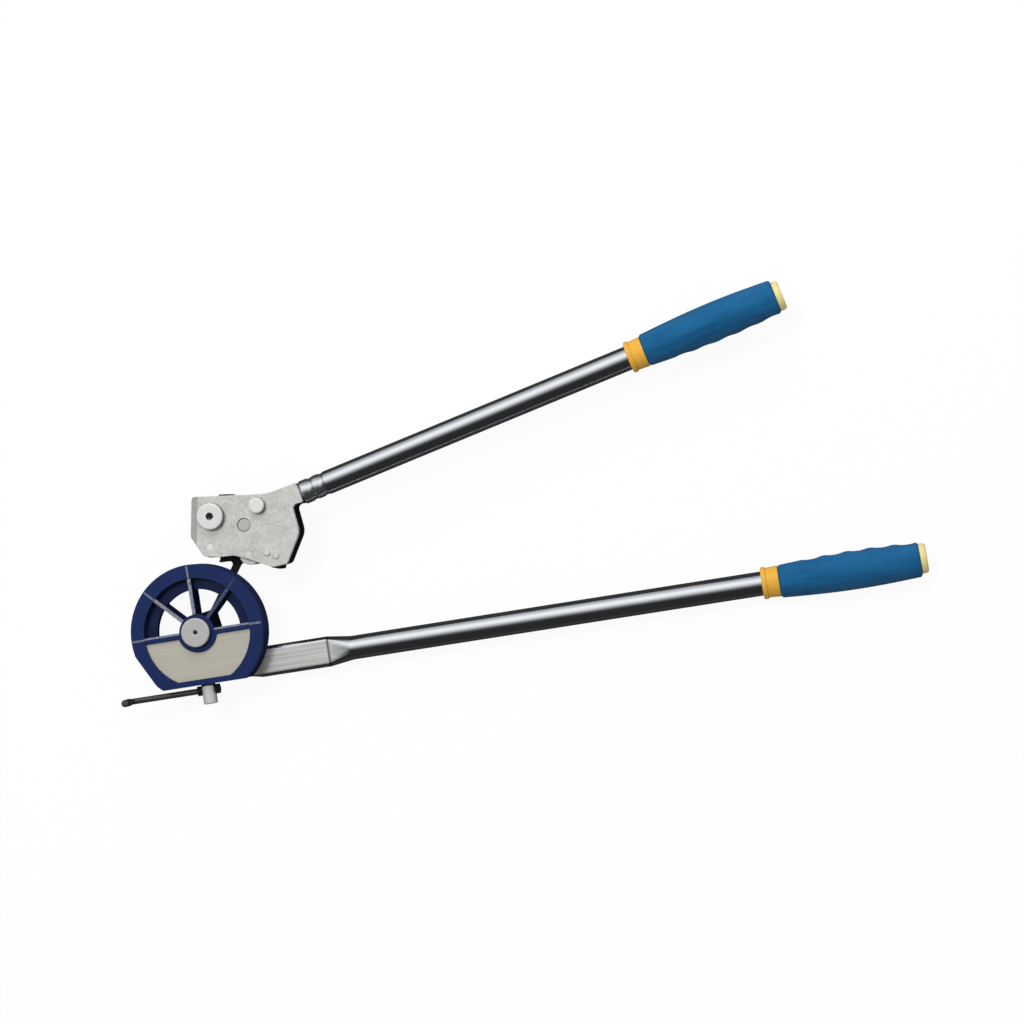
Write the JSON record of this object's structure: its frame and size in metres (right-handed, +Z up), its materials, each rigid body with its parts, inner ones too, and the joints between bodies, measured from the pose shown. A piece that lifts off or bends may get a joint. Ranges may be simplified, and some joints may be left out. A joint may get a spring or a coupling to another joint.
{
  "type": "tube bender",
  "caption": "Lever tube bender: grooved forming wheel on a fixed handle, a second handle whose roller head swings round the wheel, and a swivel hook that holds the tube.",
  "frame": {"origin": "middle of the pivot pin's foot, on the surface that the tool lies on", "axes": "+X along the fixed handle towards its grip, +Y across the tool towards the lever, +Z up along the pivot"},
  "size_m": [0.6742, 0.2694, 0.053],
  "materials": {
    "wheel_paint": "navy enamel on a sand-textured casting",
    "label_metal": "brushed champagne, bare",
    "plated_steel": "satin zinc plate",
    "chrome_tube": "bright chrome plate",
    "black_steel": "black oxide, low sheen",
    "bronze": "plain turned bronze",
    "grip_blue": "soft blue moulding",
    "trim_yellow": "yellow moulding",
    "hook_steel": "darkened steel rod"
  },
  "bodies": {
    "die": {"forming_wheel": "wheel_paint", "label_plate": "label_metal", "pivot_pin": "plated_steel", "pivot_thrust_washer": "bronze", "pivot_washer": "plated_steel", "pivot_nut": "plated_steel", "hook_keeper_pin": "plated_steel", "fixed_handle_tube": "chrome_tube", "fixed_handle_bolts": "plated_steel", "fixed_handle_collar": "trim_yellow", "fixed_handle_grip": "grip_blue", "fixed_handle_end_cap": "trim_yellow"},
    "lever": {"lever_front_plate": "plated_steel", "lever_swing_arm": "black_steel", "lever_pivot_bush": "bronze", "lever_spacer_block": "black_steel", "lever_main_tie_bolt": "plated_steel", "lever_main_tie_sleeve": "plated_steel", "lever_main_tie_nut": "plated_steel", "lever_tie_bolt": "chrome_tube", "lever_tie_nut": "plated_steel", "lever_flush_dowel": "plated_steel", "lever_plate_rivets": "plated_steel", "roller_axle_1": "plated_steel", "roller_axle_2": "plated_steel", "lever_handle_tube": "chrome_tube", "lever_handle_collar": "trim_yellow", "lever_handle_grip": "grip_blue", "lever_handle_end_cap": "trim_yellow"},
    "roller_1": {"roller_1": "plated_steel", "roller_1_bush": "bronze"},
    "roller_2": {"roller_2": "plated_steel", "roller_2_bush": "bronze"},
    "hook": {"hook_stud": "chrome_tube", "hook_rod": "hook_steel", "hook_lock_nuts": "black_steel"}
  },
  "joints": [
    {"name": "lever_swing", "type": "hinge", "parent": "die", "child": "lever", "pos_m": [0, 0, 0.0315], "axis": [0, 0, 1], "range_deg": [-18, 106]},
    {"name": "roller_1_spin", "type": "hinge", "parent": "lever", "child": "roller_1", "pos_m": [0.02395, 0.06838, 0.0315], "axis": [0, 0, 1], "continuous": true},
    {"name": "roller_2_spin", "type": "hinge", "parent": "lever", "child": "roller_2", "pos_m": [0.05537, 0.05737, 0.0315], "axis": [0, 0, 1], "continuous": true},
    {"name": "hook_swing", "type": "hinge", "parent": "die", "child": "hook", "pos_m": [0, -0.05, 0.0315], "axis": [0, 1, 0], "range_deg": [-25, 85]}
  ]
}
